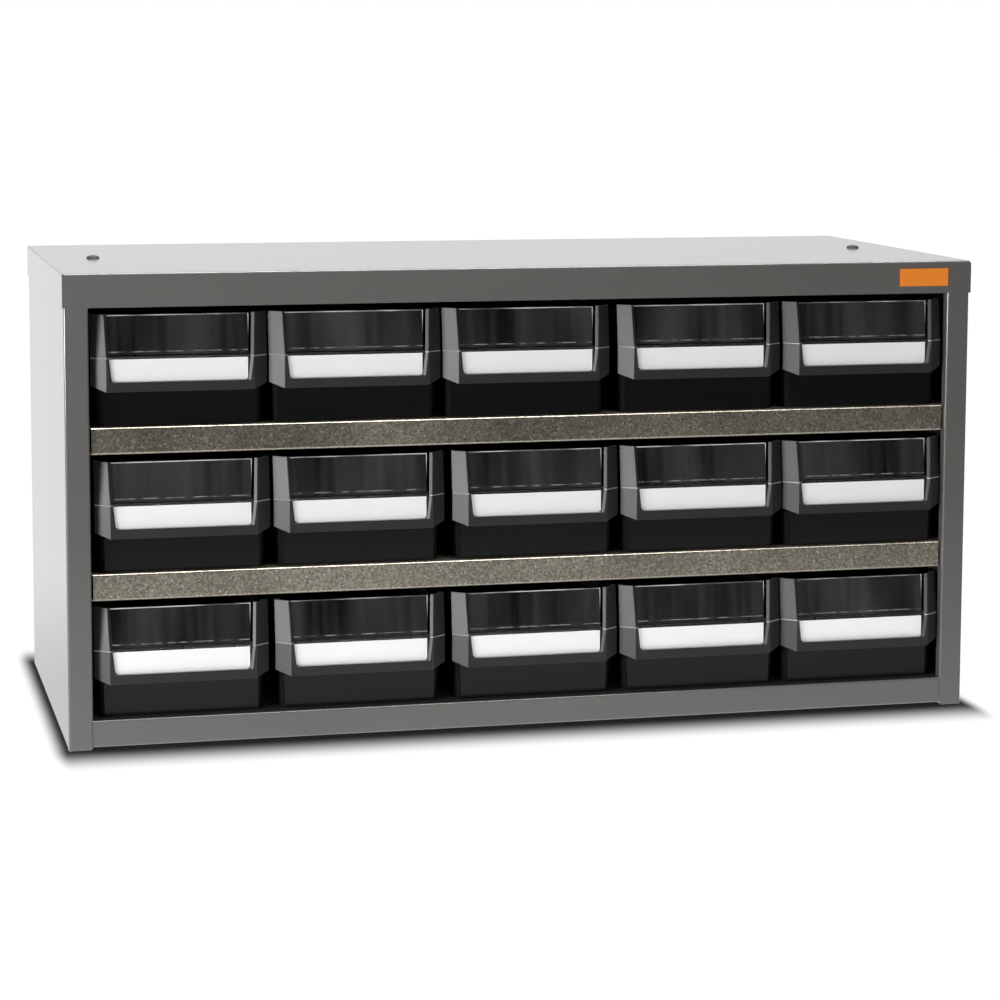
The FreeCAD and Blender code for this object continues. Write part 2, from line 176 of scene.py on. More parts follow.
def varied_finish(name, color, roughness, scale, color_amount, rough_amount, bump, depth):
    """A material with varied colour and roughness, and a bump whose depth is in metres."""
    material = bpy.data.materials.new(name)
    material.use_nodes = True
    tree = material.node_tree
    shader = shader_of(material)
    vary = tree.nodes.new("ShaderNodeGroup")
    vary.node_tree = variation
    vary.inputs["Color"].default_value = (*color, 1)
    vary.inputs["Roughness"].default_value = roughness
    vary.inputs["Scale"].default_value = scale
    vary.inputs["Color Amount"].default_value = color_amount
    vary.inputs["Roughness Amount"].default_value = rough_amount
    tree.links.new(vary.outputs["Color"], shader.inputs["Base Color"])
    tree.links.new(vary.outputs["Roughness"], shader.inputs["Roughness"])
    relief = tree.nodes.new("ShaderNodeBump")
    relief.inputs["Strength"].default_value = bump
    relief.inputs["Distance"].default_value = depth
    tree.links.new(vary.outputs["Height"], relief.inputs["Height"])
    tree.links.new(relief.outputs["Normal"], shader.inputs["Normal"])
    return material


def dress(node, material):
    """Gives a CAD node its finish."""
    nodes[node].data.materials.clear()
    nodes[node].data.materials.append(material)


print("each finish is a group of", len(variation.nodes), "nodes and a bump")

# %% [markdown]
# ## Painted steel
# The shell has a dark warm grey paint, baked on. Seen square on it is plainly grey, and seen
# along its surface, as the lid and the left side are, its clear top skin mirrors the white room.
# A coat layer does both: its own smooth reflection grows with the angle by itself.

# %% Powder-coat paint
PAINTED = ("top_lid", "left_side_panel", "right_side_panel", "bottom_panel", "back_panel")
paint = varied_finish(
    "cabinet_paint",
    color=(0.103, 0.099, 0.094),
    roughness=0.50,
    scale=1400.0,
    color_amount=0.05,
    rough_amount=0.06,
    bump=0.10,
    depth=0.04 * MM,
)
shader_of(paint).inputs["Coat Weight"].default_value = 1.0
shader_of(paint).inputs["Coat Roughness"].default_value = 0.13
for node in PAINTED:
    dress(node, paint)
print("painted", PAINTED)

# %% [markdown]
# ## Zinc
# The shelves are bare galvanised sheet: a metal with small crystals, slightly olive, dull in the
# middle and bright on its bends. Voronoi cells give the crystals, each with its own brightness,
# and the few cells whose number comes out high are the bright specks. The bend along the foot of
# each shelf's lip catches the light: a painted highlight makes the colour lighter near that height.

# %% Crystals, and painted highlights on the bends
CRYSTALS = 620.0  # cells along a metre
CRYSTAL_RANGE, CRYSTAL_LOW = 0.74, 0.62
SPECK_FROM, SPECK_GAIN = 0.975, 1.5
BEND_HEIGHT = 0.8 * MM  # middle of the painted bend highlight, above the foot of the lip
# Width and strength of the painted highlight on the bend.
BEND_CORE, BEND_REACH, BEND_HIGHLIGHT_GAIN = 0.6 * MM, 1.5 * MM, 0.65


def smooth_range(tree, value, start, stop, low, high):
    """A value that goes smoothly from low to high between two places."""
    node = tree.nodes.new("ShaderNodeMapRange")
    node.interpolation_type = "SMOOTHSTEP"
    ends = {"Value": value, "From Min": start, "From Max": stop, "To Min": low, "To Max": high}
    for name, end in ends.items():
        feed(tree, node.inputs[name], end)
    return node.outputs["Result"]


def separate(tree, vector):
    """The X, Y and Z of a vector."""
    node = tree.nodes.new("ShaderNodeSeparateXYZ")
    tree.links.new(vector, node.inputs["Vector"])
    return node.outputs


def add_crystals(tree, place):
    """Brightness of each crystal, with specks where its second number comes out high."""
    cells = tree.nodes.new("ShaderNodeTexVoronoi")
    cells.inputs["Scale"].default_value = CRYSTALS
    tree.links.new(place, cells.inputs["Vector"])
    split = tree.nodes.new("ShaderNodeSeparateColor")
    tree.links.new(cells.outputs["Color"], split.inputs["Color"])
    spangle = math_node(tree, "MULTIPLY_ADD", split.outputs["Red"], CRYSTAL_RANGE, CRYSTAL_LOW)
    speck = math_node(tree, "GREATER_THAN", split.outputs["Green"], SPECK_FROM)
    return math_node(tree, "ADD", spangle, math_node(tree, "MULTIPLY", speck, SPECK_GAIN))


def paint_bend_highlight(tree, place, gain, shelf):
    """Adds a painted highlight at the bend along the foot of a shelf's lip."""
    height = separate(tree, place)["Z"]
    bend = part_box(shelf)[0].z + BEND_HEIGHT
    apart = math_node(tree, "ABSOLUTE", math_node(tree, "SUBTRACT", height, bend))
    bend_highlight = smooth_range(tree, apart, BEND_CORE, BEND_REACH, BEND_HIGHLIGHT_GAIN, 0.0)
    return math_node(tree, "ADD", gain, bend_highlight)


print("crystals about", round(1 / CRYSTALS / MM, 1), "mm wide")

# %% Zinc-coated sheet
zinc = varied_finish(
    "zinc_sheet",
    color=(0.60, 0.55, 0.447),
    roughness=0.38,
    scale=900.0,
    color_amount=0.40,
    rough_amount=0.25,
    bump=0.25,
    depth=0.08 * MM,
)
tree = zinc.node_tree
place = own_place(tree)
gain = add_crystals(tree, place)
# Each shelf gets a painted highlight along the bend at the foot of its lip.
for shelf in ("upper_shelf", "lower_shelf"):
    gain = paint_bend_highlight(tree, place, gain, shelf)
tint = scaled_color(tree, find_node(zinc, "GROUP").outputs["Color"], gain)
tree.links.new(tint, shader_of(zinc).inputs["Base Color"])
shader_of(zinc).inputs["Metallic"].default_value = 1.0
zinc_nodes = [name for name in nodes if "shelf" in name]
for node in zinc_nodes:
    dress(node, zinc)
print("zinc", zinc_nodes)

# %% [markdown]
# ## The bins
# All bins come out of one mould. The CAD solid has knife edges, and no moulding has: the mould's
# edges are rounded by a fraction of a millimetre, and these rounds catch the light as thin lines.
# A Bevel modifier on a welded copy of the solid gives them. One copy is made and then moved.

# %% Helpers for copies of CAD nodes
WELD = 0.01 * MM
FLAT_ANGLE, EDGE_ANGLE = math.radians(0.5), math.radians(28)


def welded_mesh(node, name):
    """A copy of a CAD node's mesh with its doubles merged and its flat faces joined."""
    mesh = nodes[node].data.copy()
    mesh.name = name
    mesh.materials.clear()
    work = bmesh.new()
    work.from_mesh(mesh)
    bmesh.ops.remove_doubles(work, verts=work.verts, dist=WELD)
    bmesh.ops.dissolve_limit(work, angle_limit=FLAT_ANGLE, verts=work.verts, edges=work.edges)
    work.to_mesh(mesh)
    work.free()
    mesh.shade_smooth()
    return mesh


def show(name, data):
    """Puts an object with this mesh, light or camera in the scene."""
    thing = bpy.data.objects.new(name, data)
    bpy.context.scene.collection.objects.link(thing)
    return thing


def add_piece(name, mesh, body, material, replaced):
    """Shows a mesh as a piece that stands for a CAD node."""
    piece = show(name, mesh)
    mesh.materials.append(material)
    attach(piece, body)
    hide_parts(replaced)
    return piece


def soften(piece, width):
    """Rounds the edges of a piece, and keeps its large faces flat beside the narrow rounds."""
    bevel = piece.modifiers.new("soft_edges", "BEVEL")
    bevel.width = width
    bevel.segments = 2
    bevel.limit_method = "ANGLE"
    bevel.angle_limit = EDGE_ANGLE
    level = piece.modifiers.new("flat_faces", "WEIGHTED_NORMAL")
    level.mode = "FACE_AREA"
    level.weight = 90
    return bevel


print("doubles closer than", WELD / MM, "mm are merged")

# %% [markdown]
# ### Two skins from one mould
# The hood has an etched, grained skin, which looks grey. The tray under it is polished, looks
# black and mirrors the table. A number on each face, the attribute "grain", tells them apart, and
# the material mixes its colour, roughness and relief by it. The inside of the tray is grained too.
# The Bevel modifier gives its new faces a material of their own: on the hood a lighter grey,
# a painted highlight for the light its rounds catch, and on the tray a dark rough one. The small
# step at the bend of the hood catches most light, and has a third one: a painted highlight.

# %% Black moulded plastic
TRAY_COLOR, HOOD_COLOR = (0.0045, 0.0045, 0.0052), (0.019, 0.019, 0.0195)
# The hood's edges and the step are far lighter than the hood: painted highlights where they catch
# the light.
TRAY_EDGE, HOOD_EDGE_HIGHLIGHT = (0.004, 0.004, 0.004), (0.16, 0.16, 0.16)
STEP_HIGHLIGHT_COLOR = (0.40, 0.40, 0.40)


def mixed_color(tree, share, first, second):
    """A mix of two colours, each a link or three numbers."""
    node = tree.nodes.new("ShaderNodeMix")
    node.data_type = "RGBA"
    tree.links.new(share, node.inputs["Factor"])
    for name, color in (("A", first), ("B", second)):
        if isinstance(color, tuple):
            node.inputs[name].default_value = (*color, 1)
        else:
            tree.links.new(color, node.inputs[name])
    return node.outputs["Result"]


def give_two_skins(material, tray_color, hood_color, tray_rough, hood_rough):
    """Mixes colour, roughness and relief by the number "grain": 0 on the tray, 1 on the hood."""
    tree = material.node_tree
    vary = find_node(material, "GROUP")
    attribute = tree.nodes.new("ShaderNodeAttribute")
    attribute.attribute_name = "grain"
    grain = attribute.outputs["Fac"]
    skin = mixed_color(tree, grain, tray_color, hood_color)
    tree.links.new(skin, vary.inputs["Color"])
    dull = math_node(tree, "MULTIPLY_ADD", grain, hood_rough - tray_rough, tray_rough)
    tree.links.new(dull, vary.inputs["Roughness"])
    etched = math_node(tree, "MULTIPLY", vary.outputs["Height"], grain)
    tree.links.new(etched, find_node(material, "BUMP").inputs["Height"])


plastic = varied_finish(
    "bin_plastic",
    color=HOOD_COLOR,
    roughness=0.45,
    scale=1100.0,
    color_amount=0.12,
    rough_amount=0.08,
    bump=0.12,
    depth=0.05 * MM,
)
give_two_skins(plastic, TRAY_COLOR, HOOD_COLOR, tray_rough=0.20, hood_rough=0.45)
shader_of(plastic).inputs["IOR"].default_value = 1.50
print("plastic nodes", len(plastic.node_tree.nodes))

# %% The same plastic on rounded edges and on the step, with painted highlights
edge_plastic = varied_finish(
    "bin_edges",
    color=HOOD_EDGE_HIGHLIGHT,
    roughness=0.36,
    scale=900.0,
    color_amount=0.10,
    rough_amount=0.05,
    bump=0.05,
    depth=0.01 * MM,
)
give_two_skins(edge_plastic, TRAY_EDGE, HOOD_EDGE_HIGHLIGHT, tray_rough=0.75, hood_rough=0.36)
shader_of(edge_plastic).inputs["IOR"].default_value = 1.18
step_highlight_plastic = varied_finish(
    "bin_step_highlight",
    color=STEP_HIGHLIGHT_COLOR,
    roughness=0.30,
    scale=900.0,
    color_amount=0.10,
    rough_amount=0.05,
    bump=0.0,
    depth=0.01 * MM,
)
print("edges", edge_plastic.name, "and", step_highlight_plastic.name)

# %% Each face of the moulding gets its skin
HOOD_FACE, HOOD_CHEEK = 14.9 * MM, 22 * MM  # how far back the hood's face and its sides reach
CHEEK_WIDTH = 2.6 * MM  # how far the sides stand out past the tray
INNER_WALL = 20 * MM  # inside walls stand at least this far from the middle and face it
SLANT, UPWARD = 0.15, 0.5  # least parts of a normal on a corner and on a face that looks up
EDGE_SKIN, STEP_HIGHLIGHT_SKIN = 1, 2  # places in the list of materials, after the main one
first = bin_keys[0]
moulding = welded_mesh("bin_" + first, "moulding")
first_low, first_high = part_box("bin_" + first)
first_middle = (first_high + first_low) / 2
cheek_start = (first_high.x - first_low.x) / 2 - CHEEK_WIDTH
skin_number = []
for face in moulding.polygons:
    back = face.center.y - first_low.y
    out = face.center - first_middle
    ahead = back < HOOD_FACE
    beside = abs(out.x) > cheek_start and back < HOOD_CHEEK
    inside = min(out.x * face.normal.x, out.y * face.normal.y) < -INNER_WALL
    upward = face.normal.z > UPWARD
    grained = ahead or beside or inside or upward
    skin_number.append(float(grained))
    # The upward step at the hood's bend gets the painted highlight.
    if ahead and upward:
        face.material_index = STEP_HIGHLIGHT_SKIN
    elif not grained and min(abs(face.normal.x), abs(face.normal.y)) > SLANT:
        face.material_index = EDGE_SKIN
moulding.attributes.new("grain", "FLOAT", "FACE").data.foreach_set("value", skin_number)
print("grained faces", int(sum(skin_number)), "of", len(skin_number))

# %% One moulding, then a copy of it in each place
BIN_ROUND = 0.5 * MM
for key in bin_keys:
    node = "bin_" + key
    mesh = moulding.copy()
    mesh.transform(Matrix.Translation(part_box(node)[0] - first_low))
    piece = add_piece("moulding_" + key, mesh, "bin_body_" + key, plastic, node)
    mesh.materials.append(edge_plastic)
    mesh.materials.append(step_highlight_plastic)
    soften(piece, BIN_ROUND).material = EDGE_SKIN
print("bin mesh", len(moulding.polygons), "faces before its edges are rounded")

# %% [markdown]
# ## The clear panes
# Each pane is clear plastic. Its cut edges gather light and shine, and its face shows fine upright
# streaks of reflected light before the dark inside. Both are painted on the pane, a painted
# highlight on the edges and painted reflections on the face, so they follow the pane, not the
# room, and every pane gets a UV map: U runs across it and V up it, both from 0 to 1. A broken
# bright line, a painted highlight where the bend catches the light, crosses it just above the
# label. A low
# alpha stands for the clear plastic: such a thin pane hardly bends the light, and the label behind
# it stays crisp.

# %% Measure the pane
SAME_FACE = 0.1 * MM
pane_low, pane_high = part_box("window_" + first)
pane_width = pane_high.x - pane_low.x
pane_height = pane_high.z - pane_low.z
pane_points = [v.co.copy() for v in nodes["window_" + first].data.vertices]
pane_front = min(point.y for point in pane_points)
bend_top = max(point.z for point in pane_points if point.y < pane_front + SAME_FACE)
BEND_SHARE = (bend_top - pane_low.z) / pane_height
print("pane bends at", round(BEND_SHARE, 3), "of its height")

# %% Pane material
# Places on the pane are shares of its height, and the side's edge is a share of its width.
TOP_EDGE, SIDE_EDGE = 0.014, 0.0065
VEIL_START = BEND_SHARE + 0.05
LINE_MIDDLE, LINE_HALF = BEND_SHARE + 0.095, 0.008
BROAD_REFLECTION_STREAKS, FINE_REFLECTION_STREAKS = 0.72, 0.28
STREAK_LEAN = 0.30  # how much the painted reflection streaks change up the pane
# Colours of the painted reflection streaks.
REFLECTION_STREAK_COLORS = ((0.34, (0.004, 0.004, 0.004)), (0.68, (0.060, 0.060, 0.059)))  # noise, colour
# The next three lines set the painted highlights on the pane's edges and on the line at its bend.
UNEVEN_HIGHLIGHT = (0.35, 0.60, 0.15, 1.0)  # noise from, noise to, brightness there, brightness here
BROKEN_HIGHLIGHT = (0.40, 0.62, 0.04, 0.40)
EDGE_HIGHLIGHT_COLOR = (0.60, 0.61, 0.61)
CLEAR, VEIL = 0.04, 0.78  # alpha of the part before the label, and what the painted reflection streaks add


def build_pane_material():
    """Clear plastic with painted highlights on its edges and its bend, and faint painted reflection
    streaks above the label.
    """
    material = bpy.data.materials.new("clear_pane")
    material.use_nodes = True
    tree = material.node_tree
    shader = shader_of(material)
    shader.inputs["Roughness"].default_value = 0.08
    shader.inputs["IOR"].default_value = 1.49
    own_map = tree.nodes.new("ShaderNodeUVMap")
    own_map.uv_map = "pane"
    parts = separate(tree, own_map.outputs["UV"])
    across, up = parts["X"], parts["Y"]
    seed = tree.nodes.new("ShaderNodeAttribute")
    seed.attribute_name = "pane_seed"

    def streaks(count, layer, detail):
        """Noise that changes across the pane and only a little with its height."""
        joined = tree.nodes.new("ShaderNodeCombineXYZ")
        shifted = math_node(tree, "MULTIPLY_ADD", across, count, seed.outputs["Fac"])
        tree.links.new(shifted, joined.inputs["X"])
        tree.links.new(math_node(tree, "MULTIPLY", up, STREAK_LEAN), joined.inputs["Y"])
        joined.inputs["Z"].default_value = layer
        return noise(tree, joined.outputs["Vector"], 1.0, detail)

    # Painted reflections: upright streaks of light on the pane's face.
    broad = math_node(tree, "MULTIPLY", streaks(count=2.6, layer=0.0, detail=1.0), BROAD_REFLECTION_STREAKS)
    fine = math_node(tree, "MULTIPLY", streaks(count=19.0, layer=4.0, detail=3.0), FINE_REFLECTION_STREAKS)
    ramp = tree.nodes.new("ShaderNodeValToRGB")
    for element, (level, color) in zip(ramp.color_ramp.elements, REFLECTION_STREAK_COLORS):
        element.position = level
        element.color = (*color, 1)
    tree.links.new(math_node(tree, "ADD", broad, fine), ramp.inputs["Fac"])
    # Painted highlights on the top and side edges, and on a broken line just above the label.
    uneven = smooth_range(tree, streaks(count=3.0, layer=14.0, detail=3.0), *UNEVEN_HIGHLIGHT)
    top = math_node(tree, "MULTIPLY", math_node(tree, "GREATER_THAN", up, 1.0 - TOP_EDGE), uneven)
    side = math_node(tree, "GREATER_THAN", across, 1.0 - SIDE_EDGE)
    from_line = math_node(tree, "ABSOLUTE", math_node(tree, "SUBTRACT", up, LINE_MIDDLE))
    broken_highlight = smooth_range(tree, streaks(count=11.0, layer=9.0, detail=4.0), *BROKEN_HIGHLIGHT)
    line = math_node(tree, "MULTIPLY", math_node(tree, "LESS_THAN", from_line, LINE_HALF), broken_highlight)
    painted_highlight = math_node(tree, "MAXIMUM", math_node(tree, "MAXIMUM", top, side), line)
    above = math_node(tree, "GREATER_THAN", up, VEIL_START)
    see = math_node(tree, "ADD", math_node(tree, "MULTIPLY", above, VEIL), CLEAR)
    tree.links.new(math_node(tree, "MAXIMUM", see, painted_highlight), shader.inputs["Alpha"])
    bright = mixed_color(tree, painted_highlight, ramp.outputs["Color"], EDGE_HIGHLIGHT_COLOR)
    tree.links.new(bright, shader.inputs["Base Color"])
    return material


pane_material = build_pane_material()
print("pane nodes", len(pane_material.node_tree.nodes))

# %% Panes with a UV map and a number of their own
SEED_STEP = 7.3
PANE_ROUND = 0.2 * MM
for index, key in enumerate(bin_keys):
    node = "window_" + key
    low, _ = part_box(node)
    mesh = welded_mesh(node, "pane_" + key)
    layer = mesh.uv_layers.new(name="pane")
    for loop in mesh.loops:
        place = mesh.vertices[loop.vertex_index].co - low
        layer.data[loop.index].uv = (place.x / pane_width, place.z / pane_height)
    number = mesh.attributes.new("pane_seed", "FLOAT", "POINT")
    number.data.foreach_set("value", [SEED_STEP * index] * len(mesh.vertices))
    piece = add_piece("pane_" + key, mesh, "bin_body_" + key, pane_material, node)
    soften(piece, PANE_ROUND)
print("panes", len(bin_keys))

# %% [markdown]
# ## Labels and the plate
# The labels are white card, a little fibrous. The plate on the lid's front lip is plain orange
# with a soft shine. Both stay bare. They are flat and small, so the CAD nodes only get a finish.

# %% Card and plate
card = varied_finish(
    "label_card",
    color=(0.90, 0.90, 0.895),
    roughness=0.75,
    scale=1800.0,
    color_amount=0.03,
    rough_amount=0.05,
    bump=0.05,
    depth=0.02 * MM,
)
for key in bin_keys:
    dress("label_" + key, card)
orange = varied_finish(
    "badge_orange",
    color=(0.80, 0.23, 0.02),
    roughness=0.35,
    scale=700.0,
    color_amount=0.06,
    rough_amount=0.05,
    bump=0.05,
    depth=0.03 * MM,
)
dress("badge", orange)
print("labels", len(bin_keys))

# %% [markdown]
# ## The lid's plugs
# Two low black buttons close holes in the lid. The CAD head is bevelled flat; the real one is a
# dome. Its half outline is turned once round with Spin, as on a lathe.

# %% Rubber, and the outline of a plug
STEM_SHARE = 0.74
RIM_ANGLE = math.radians(40)
DOME_FULLNESS = 0.8  # below 1 the dome is fuller than an ellipse
rubber = varied_finish(
    "plug_black",
    color=(0.03, 0.03, 0.03),
    roughness=0.60,
    scale=1500.0,
    color_amount=0.1,
    rough_amount=0.1,
    bump=0.1,
    depth=0.03 * MM,
)


def dome_outline(radius, rise, stem_radius, stem_depth, steps=8):
    """Half outline of a plug from the top of its dome to the end of its stem."""
    points = []
    for i in range(steps + 1):
        angle = math.pi / 2 * i / steps
        height = rise * math.cos(angle) ** DOME_FULLNESS
        points.append(Vector((radius * math.sin(angle), 0, height)))
    points.append(Vector((stem_radius, 0, 0)))
    points.append(Vector((stem_radius, 0, -stem_depth)))
    points.append(Vector((0, 0, -stem_depth)))
    return points


def turned(points, name, segments=48):
    """A solid of revolution about Z."""
    work = bmesh.new()
    verts = [work.verts.new(p) for p in points]
    edges = [work.edges.new(pair) for pair in zip(verts, verts[1:])]
    bmesh.ops.spin(
        work,
        geom=verts + edges,
        cent=(0, 0, 0),
        axis=(0, 0, 1),
        angle=2 * math.pi,
        steps=segments,
    )
    bmesh.ops.remove_doubles(work, verts=work.verts, dist=WELD)
    bmesh.ops.recalc_face_normals(work, faces=work.faces)
    mesh = bpy.data.meshes.new(name)
    work.to_mesh(mesh)
    work.free()
    mesh.shade_smooth()
    mesh.set_sharp_from_angle(angle=RIM_ANGLE)
    return mesh


print("a plug's outline has", len(dome_outline(1, 1, 1, 1)), "points")

# %% Domed plugs
lid_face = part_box("top_lid")[1].z
for side in ("left", "right"):
    node = "lid_plug_" + side
    low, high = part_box(node)
    middle = (low + high) / 2
    radius = (high.x - low.x) / 2
    outline = dome_outline(radius, high.z - lid_face, radius * STEM_SHARE, lid_face - low.z)
    mesh = turned(outline, "dome_" + side)
    mesh.transform(Matrix.Translation((middle.x, middle.y, lid_face)))
    add_piece("dome_" + side, mesh, "cabinet", rubber, node)
print("plugs", round(radius * 2 / MM, 1), "mm across")

# %% [markdown]
# ## Weld marks
# The back of such a cabinet is spot-welded to its side flanges, which leaves rows of shallow
# round marks under the paint. A row is a repeat, so Geometry Nodes lay it out: points on a line,
# and a flat dome on each point.

# %% Geometry Nodes tree for a row of marks


def build_mark_tree():
    """A row of flat domes along Z."""
    group = bpy.data.node_groups.new("weld_marks", "GeometryNodeTree")
    new_socket(group, "Length", "INPUT", "Float", 0.4)
    new_socket(group, "Count", "INPUT", "Int", 6)
    new_socket(group, "Radius", "INPUT", "Float", 0.003)
    new_socket(group, "Height", "INPUT", "Float", 0.0002)
    new_socket(group, "Material", "INPUT", "Material")
    new_socket(group, "Geometry", "OUTPUT", "Geometry")
    given = group.nodes.new("NodeGroupInput").outputs
    result = group.nodes.new("NodeGroupOutput").inputs
    end = group.nodes.new("ShaderNodeCombineXYZ")
    group.links.new(given["Length"], end.inputs["Z"])
    line = group.nodes.new("GeometryNodeMeshLine")
    line.mode = "END_POINTS"
    group.links.new(given["Count"], line.inputs["Count"])
    group.links.new(end.outputs["Vector"], line.inputs["Offset"])
    dome = group.nodes.new("GeometryNodeMeshUVSphere")
    dome.inputs["Segments"].default_value = 20
    dome.inputs["Rings"].default_value = 8
    group.links.new(given["Radius"], dome.inputs["Radius"])
    flatness = math_node(group, "DIVIDE", given["Height"], given["Radius"])
    shape = group.nodes.new("ShaderNodeCombineXYZ")
    shape.inputs["X"].default_value = 1.0
    shape.inputs["Z"].default_value = 1.0
    group.links.new(flatness, shape.inputs["Y"])
    spread = group.nodes.new("GeometryNodeInstanceOnPoints")
    group.links.new(line.outputs["Mesh"], spread.inputs["Points"])
    group.links.new(dome.outputs["Mesh"], spread.inputs["Instance"])
    group.links.new(shape.outputs["Vector"], spread.inputs["Scale"])
    real = group.nodes.new("GeometryNodeRealizeInstances")
    group.links.new(spread.outputs["Instances"], real.inputs["Geometry"])
    coat = group.nodes.new("GeometryNodeSetMaterial")
    group.links.new(real.outputs["Geometry"], coat.inputs["Geometry"])
    group.links.new(given["Material"], coat.inputs["Material"])
    group.links.new(coat.outputs["Geometry"], result["Geometry"])
    return group


def socket_id(group, name):
    """Identifier of a named input of a node group."""
    for item in group.interface.items_tree:
        if item.item_type == "SOCKET" and item.in_out == "INPUT" and item.name == name:
            return item.identifier
    raise KeyError(name)


mark_tree = build_mark_tree()
print("tree", mark_tree.name, "with", len(mark_tree.nodes), "nodes")

# %% Two rows of marks on the rear flanges
MARK_ROW = {"Length": 0.36, "Count": 6, "Radius": 3 * MM, "Height": 0.15 * MM, "Material": paint}
MARK_INSET = 11 * MM  # from the side wall
MARK_START = 0.03  # from the foot of the back
back_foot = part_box("back_panel")[0].z
for side, inward in (("left", 1), ("right", -1)):
    low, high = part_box(side + "_side_panel")
    wall = low.x if side == "left" else high.x
    row = show("mark_row", bpy.data.meshes.new("mark_row"))
    modifier = row.modifiers.new("marks", "NODES")
    modifier.node_group = mark_tree
    for name, value in MARK_ROW.items():
        modifier[socket_id(mark_tree, name)] = value
    graph = bpy.context.evaluated_depsgraph_get()
    mesh = bpy.data.meshes.new_from_object(row.evaluated_get(graph))
    bpy.data.objects.remove(row)
    mesh.name = "weld_marks_" + side
    mesh.transform(Matrix.Translation((wall + inward * MARK_INSET, high.y, back_foot + MARK_START)))
    mesh.shade_smooth()
    marks = show("weld_marks_" + side, mesh)
    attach(marks, "cabinet")
    print("marks", side, len(mesh.polygons), "faces")

# %% [markdown]
# ## The studio
# The photograph shows a white table in a dark room. A long soft light hangs right above the front
# of the cabinet. The fronts see only what lies before them: the low rows mirror the near, white
# part of the table, the high rows the dark room behind the camera, so they grow darker upwards.
# Light Path tells the kinds of rays apart, so each kind can have a table and a room of its own.

# %% Helpers for the studio's nodes


def pick(tree, flag, off, on):
    """One of two values, chosen by a flag that is 0 or 1."""
    node = tree.nodes.new("ShaderNodeMix")
    for name, value in (("Factor", flag), ("A", off), ("B", on)):
        feed(tree, node.inputs[name], value)
    return node.outputs["Result"]


def grey(tree, level):
    """The same number as a colour."""
    joined = tree.nodes.new("ShaderNodeCombineColor")
    for name in ("Red", "Green", "Blue"):
        feed(tree, joined.inputs[name], level)
    return joined.outputs["Color"]


print("camera, gloss and light rays will each see their own table")

# %% [markdown]
# ### Table
# The camera sees a painted shadow: close to the cabinet's foot the table has a dark colour, which
# still takes the real light, and a short way off it turns plain white, short and soft. Reflections
# see it bright behind, and in front brightest a hand's breadth to a metre away; next to the foot
# it is dimmer, a painted shadow as reflections see it. The white next to the foot throws light up
# at the rail and the lower bins.

# %% Levels of the table
# Each range along an axis is: from, to, level there, level here.
# Next to the foot the mirrored table is dimmer: a painted shadow as reflections see it.
FRONT_RISE = (-0.20, -0.45, 0.34, 0.46)
FRONT_FALL = (-0.80, -1.50, 0.46, 0.04)
FRONT_ACROSS = (-0.4, 1.6, 1.18, 0.60)
REAR_RISE = (0.0, 0.8, 0.80, 1.05)
SHADOW_REACH = 0.084  # in front of the foot
SIDE_STRETCH = 4.6  # how much shorter the shadow is at the sides
SHADOW_COLOR, LIT_COLOR = 0.07, 0.86  # the table's colour as the camera sees it, dark for the painted shadow, and as other rays see it
GLOW_REACH = (0.05, 0.22)
TABLE_WHITE, FOOT_GLOW = 1.02, 1.65
TABLE_HALF = 15.0


def mirrored_table(tree, x, y):
    """How bright reflections see the table at each place."""
    rise = smooth_range(tree, y, *FRONT_RISE)
    fall = smooth_range(tree, y, *FRONT_FALL)
    across = smooth_range(tree, x, *FRONT_ACROSS)
    front = math_node(tree, "MULTIPLY", math_node(tree, "MINIMUM", rise, fall), across)
    rear = smooth_range(tree, y, *REAR_RISE)
    behind = math_node(tree, "GREATER_THAN", y, FRONT_RISE[0])
    return pick(tree, behind, front, rear)


def beyond(tree, place, half):
    """How far a place lies outside the cabinet's footprint along one axis."""
    past = math_node(tree, "SUBTRACT", math_node(tree, "ABSOLUTE", place), half)
    return math_node(tree, "MAXIMUM", past, 0)


def build_table():
    """White floor with a painted shadow near the object and plain white beyond."""
    material = bpy.data.materials.new("white_table")
    material.use_nodes = True
    tree = material.node_tree
    tree.nodes.remove(shader_of(material))
    path = tree.nodes.new("ShaderNodeLightPath").outputs
    seen, mirrored, thrown = path["Is Camera Ray"], path["Is Glossy Ray"], path["Is Diffuse Ray"]
    place = separate(tree, own_place(tree))
    past_x = beyond(tree, place["X"], cad_high.x)
    past_y = beyond(tree, place["Y"], cad_high.y)
    wide = math_node(tree, "MULTIPLY", past_x, SIDE_STRETCH)
    squares = [math_node(tree, "MULTIPLY", part, part) for part in (wide, past_y)]
    around = math_node(tree, "SQRT", math_node(tree, "ADD", *squares))
    clear_of_foot = smooth_range(tree, around, 0.0, SHADOW_REACH, 0.0, 1.0)
    white = math_node(tree, "MULTIPLY", seen, clear_of_foot)
    away = math_node(tree, "MAXIMUM", past_x, past_y)
    near = math_node(tree, "MULTIPLY", thrown, smooth_range(tree, away, *GLOW_REACH, 1.0, 0.0))
    share = math_node(tree, "MAXIMUM", math_node(tree, "MAXIMUM", white, near), mirrored)
    lit = tree.nodes.new("ShaderNodeBsdfDiffuse")
    tree.links.new(grey(tree, pick(tree, seen, LIT_COLOR, SHADOW_COLOR)), lit.inputs["Color"])
    plain = tree.nodes.new("ShaderNodeEmission")
    level = pick(tree, thrown, TABLE_WHITE, FOOT_GLOW)
    level = pick(tree, mirrored, level, mirrored_table(tree, place["X"], place["Y"]))
    tree.links.new(level, plain.inputs["Strength"])
    mix = tree.nodes.new("ShaderNodeMixShader")
    tree.links.new(share, mix.inputs[0])
    tree.links.new(lit.outputs["BSDF"], mix.inputs[1])
    tree.links.new(plain.outputs["Emission"], mix.inputs[2])
    tree.links.new(mix.outputs["Shader"], tree.nodes["Material Output"].inputs["Surface"])
    return material


